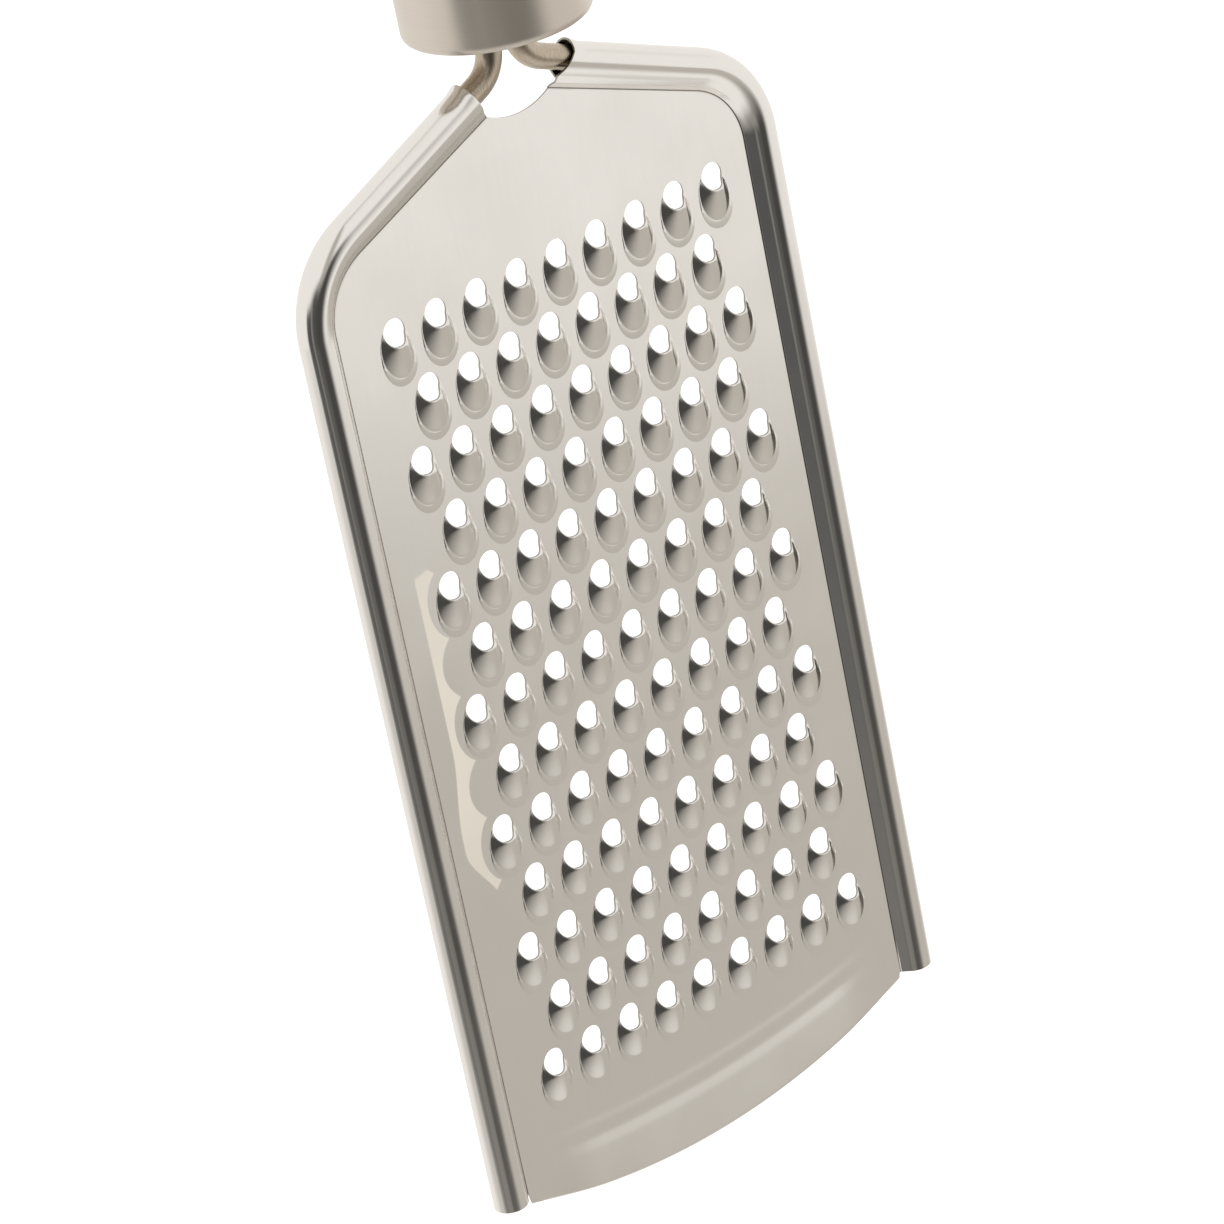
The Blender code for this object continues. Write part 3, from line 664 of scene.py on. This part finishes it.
radius, wall, edge = handle["radius"], handle["wall"], handle["edge"]
inner = radius - wall
frontEdge = [(r, 2 * edge - h) for r, h in quarter(radius, 2 * edge, edge, handle["edgeSteps"])]
tubeOutline = ([(radius, handle["length"])] + frontEdge + [(0.0, 0.0), (0.0, wall)]
               + [(inner - handle["insideEdge"], wall), (inner, wall + handle["insideEdge"]),
                  (inner, handle["length"])])
bores = [(handleAxisX + side * rods["pairX"], rods["radius"] + handle["holeRoom"]) for side in (-1, 1)]
makeTurned("handleTube", tubeOutline, handle["z"], satinTube, "handle_shell", holes=bores)

skirtRadius = inner - cap["skirtRoom"]
capEdge = list(quarter(radius, wall, wall * cap["edgeShare"], cap["edgeSteps"]))[::-1]
capOutline = [(cap["bore"], wall)] + capEdge + [
    (radius, 0.0), (skirtRadius, 0.0), (skirtRadius, -cap["skirt"]), (skirtRadius - wall, -cap["skirt"]),
    (skirtRadius - wall, 0.0), (cap["bore"], 0.0)]
capZ = handle["z"] + handle["length"] + cap["gap"]
makeTurned("handleCap", capOutline, capZ, satinTube, "handle_end_cap")

for name in ("rod_anchor_disc", "hanging_eye", "eye_nut", "hanging_ring"):     # kept as the CAD has them
    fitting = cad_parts[name].data
    fitting.materials.clear()
    fitting.materials.append(turnedFitting)
print("handle and fittings made")

# The studio is a bright room, with the darker places that polished metal mirrors. middle is an
# azimuth from +X toward +Y; gone and full are offsets from it where a place has faded out and where
# it is at its full depth, on its two sides. low is (gone, full) of its lower side and high is (full,
# gone) of its upper side, in degrees above the horizon; one without high reaches the zenith. A later
# place covers an earlier one.
room = {"glow": (1.0, 0.99, 0.975, 1.0), "back": (1.0, 1.0, 1.0, 1.0)}
darkPlaces = [
    {"what": "floor falling away in front", "middle": -45, "full": (-30, 30), "gone": (-75, 75),
     "low": (-58, -40), "high": (-24.2, -21.0), "light": (0.575, 0.553, 0.515)},
    {"what": "floor on the right", "middle": 0, "full": (-20, 40), "gone": (-42, 70),
     "low": (-85, -62), "high": (-35, -30), "light": (0.56, 0.54, 0.50)},
    {"what": "floor on the left", "middle": -175, "full": (-15, 10), "gone": (-60, 50),
     "low": (-42, -32), "high": (-25, -18), "light": (0.64, 0.625, 0.60)},
    {"what": "right of the room", "middle": -10, "full": (-25, 12), "gone": (-42, 50),
     "low": (55, 75), "light": (0.68, 0.66, 0.63)},
    {"what": "camera side, low", "middle": -120, "full": (-35, 5), "gone": (-58, 70),
     "low": (-62, -38), "high": (-25, -21), "light": (0.34, 0.33, 0.31)},
    {"what": "right of the camera", "middle": -42, "full": (-12, 20), "gone": (-34, 40),
     "low": (14, 34), "light": (0.82, 0.80, 0.77)},
    {"what": "dark corner on the left", "middle": -162, "full": (-9, 9), "gone": (-19, 17),
     "low": (-40, -20), "high": (4, 20), "light": (0.090, 0.092, 0.095)},
    {"what": "camera side", "middle": -128, "full": (-8, 22), "gone": (-40, 40),
     "low": (-35, -20), "high": (14, 32), "light": (0.090, 0.088, 0.084)},
    {"what": "camera", "middle": -98, "full": (-12, 8), "gone": (-30, 38),
     "low": (-46, -24), "high": (14, 32), "light": (0.070, 0.068, 0.065)},
    {"what": "lamp behind the camera", "middle": -111, "full": (-5, 5), "gone": (-17, 17),
     "low": (6, 22), "light": (0.50, 0.48, 0.45)},
]

world = bpy.data.worlds.new("whiteStudio")
bpy.context.scene.world = world
world.use_nodes = True
tree = world.node_tree
tree.nodes.clear()
direction = node(tree, "ShaderNodeTexCoord").outputs["Generated"]
height = node(tree, "ShaderNodeSeparateXYZ", {0: direction}).outputs[2]     # sine of its angle
glow = room["glow"]
for place in darkPlaces:
    az = radians(place["middle"])
    ahead = node(tree, "ShaderNodeVectorMath", {"operation": "DOT_PRODUCT", 0: direction,
                                                1: (cos(az), sin(az), 0.0)})
    aside = node(tree, "ShaderNodeVectorMath", {"operation": "DOT_PRODUCT", 0: direction,
                                                1: (-sin(az), cos(az), 0.0)})
    offset = node(tree, "ShaderNodeMath", {"operation": "ARCTAN2", 0: aside.outputs["Value"],
                                           1: ahead.outputs["Value"]})
    heights = [place["low"]] + ([place["high"][::-1]] if "high" in place else [])
    fades = [(offset.outputs[0], radians(a), radians(b)) for a, b in zip(place["gone"], place["full"])]
    fades += [(height, sin(radians(a)), sin(radians(b))) for a, b in heights]
    glow = node(tree, "ShaderNodeMix", {"data_type": "RGBA", "Factor": fadesMultiplied(tree, fades),
                                        6: glow, 7: place["light"] + (1.0,)}).outputs[2]
mirrored = node(tree, "ShaderNodeBackground", {"Color": glow, "Strength": 1.0})
plainBack = node(tree, "ShaderNodeBackground", {"Color": room["back"], "Strength": 1.0})
rays = node(tree, "ShaderNodeLightPath")
blend = node(tree, "ShaderNodeMixShader", {0: rays.outputs["Is Camera Ray"], 1: mirrored.outputs[0],
                                           2: plainBack.outputs[0]})
node(tree, "ShaderNodeOutputWorld", {"Surface": blend.outputs[0]})

# pale painted floor, in metres: matt, lifted to near white, left out of mirrored rays
studioFloor = {"size": 8.0, "below": 0.32, "colour": "#f4f3f1", "lift": 0.35}
floorPaint = newMaterial("paleFloor")
tree = floorPaint.node_tree
paint = node(tree, "ShaderNodeBsdfDiffuse", {"Color": linear(studioFloor["colour"])})
lift = node(tree, "ShaderNodeEmission", {"Color": (1.0, 1.0, 1.0, 1.0), "Strength": studioFloor["lift"]})
both = node(tree, "ShaderNodeAddShader", {0: paint.outputs[0], 1: lift.outputs[0]})
clear = node(tree, "ShaderNodeBsdfTransparent")
rays = node(tree, "ShaderNodeLightPath")
seen = node(tree, "ShaderNodeMixShader", {0: rays.outputs["Is Glossy Ray"], 1: both.outputs[0],
                                          2: clear.outputs[0]})
node(tree, "ShaderNodeOutputMaterial", {"Surface": seen.outputs[0]})
bpy.ops.mesh.primitive_plane_add(size=studioFloor["size"],
                                 location=(0.0, 0.0, bladeFoot - studioFloor["below"]))
floor = bpy.context.object
floor.name = "floor"
floor.data.materials.append(floorPaint)

# soft lamp, in metres and watts: the metal doesn't mirror it, the room does that
softbox = {"place": (-0.7, -0.6, 1.1), "aim": (0.0, 0.0, -0.15), "size": 0.9, "energy": 9.0}
lamp = bpy.data.lights.new("softbox", "AREA")
lamp.shape = "DISK"
lamp.size = softbox["size"]
lamp.energy = softbox["energy"]
lampObject = bpy.data.objects.new("softbox", lamp)
lampObject.location = softbox["place"]
aim = Vector(softbox["aim"]) - lampObject.location
lampObject.rotation_euler = aim.to_track_quat("-Z", "Y").to_euler()
lampObject.visible_glossy = False
bpy.context.scene.collection.objects.link(lampObject)

bpy.context.scene.view_settings.view_transform = "Standard"

# the photo's view, from the front left and above, turned a little about its own axis; near is in metres
camera = {"place": (-441.2, -597.4, 422.9), "right": (0.7394, -0.6475, -0.1844),
          "up": (0.4022, 0.2053, 0.8922), "lens": 165.47, "sensor": 36.0, "near": 0.01}
eye = bpy.data.cameras.new("photoCamera")
eye.lens = camera["lens"]
eye.sensor_width = camera["sensor"]
eye.clip_start = camera["near"]
eyeObject = bpy.data.objects.new("photoCamera", eye)
right, up = Vector(camera["right"]).normalized(), Vector(camera["up"]).normalized()
facing = Matrix((right, up, right.cross(up))).transposed().to_4x4()
eyeObject.matrix_world = Matrix.Translation(toWorld(*camera["place"])) @ facing
bpy.context.scene.collection.objects.link(eyeObject)
bpy.context.scene.camera = eyeObject
print("studio made")
